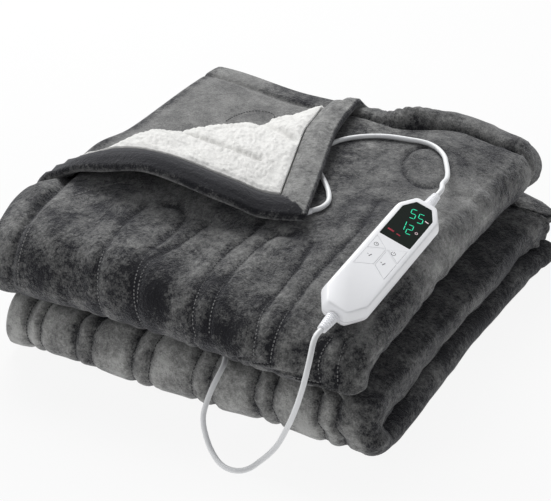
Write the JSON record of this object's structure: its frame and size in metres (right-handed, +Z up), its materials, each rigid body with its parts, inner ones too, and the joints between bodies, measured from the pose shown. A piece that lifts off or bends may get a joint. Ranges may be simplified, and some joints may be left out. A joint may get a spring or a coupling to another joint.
{
  "type": "electric heated blanket",
  "caption": "Electric heated throw folded into a stack, one corner turned back over its pile side, with its hand controller, lead and plug.",
  "frame": {"origin": "middle of the folded stack's footprint, on the surface that it lies on", "axes": "+Z up; +Y from the folded front edge with its two rounded folds to the hems at the back; +X along the front, towards the controller's side"},
  "size_m": [0.5081, 0.5121, 0.1711],
  "materials": {
    "grey_flannel": "short dark grey flannel pile, brushed in patches",
    "white_pile": "curly off-white sherpa pile",
    "white_plastic": "satin moulded plastic",
    "dark_window": "glossy dark display window",
    "white_cord": "soft white flexible sheath",
    "plug_metal": "plated blades"
  },
  "bodies": {
    "root": {"blanket_cloth": "grey_flannel", "pile_lining": "white_pile", "controller_base": "white_plastic", "controller_cover": "white_plastic", "display_window": "dark_window", "key_timer": "white_plastic", "key_power": "white_plastic", "key_cooler": "white_plastic", "key_warmer": "white_plastic", "upper_strain_relief": "white_cord", "lower_strain_relief": "white_cord", "cord_gland": "white_cord", "throw_lead": "white_cord", "mains_lead": "white_cord", "cord_coil": "white_cord", "plug_lead": "white_cord", "mains_plug": "white_cord", "left_blade": "plug_metal", "right_blade": "plug_metal"}
  },
  "joints": []
}
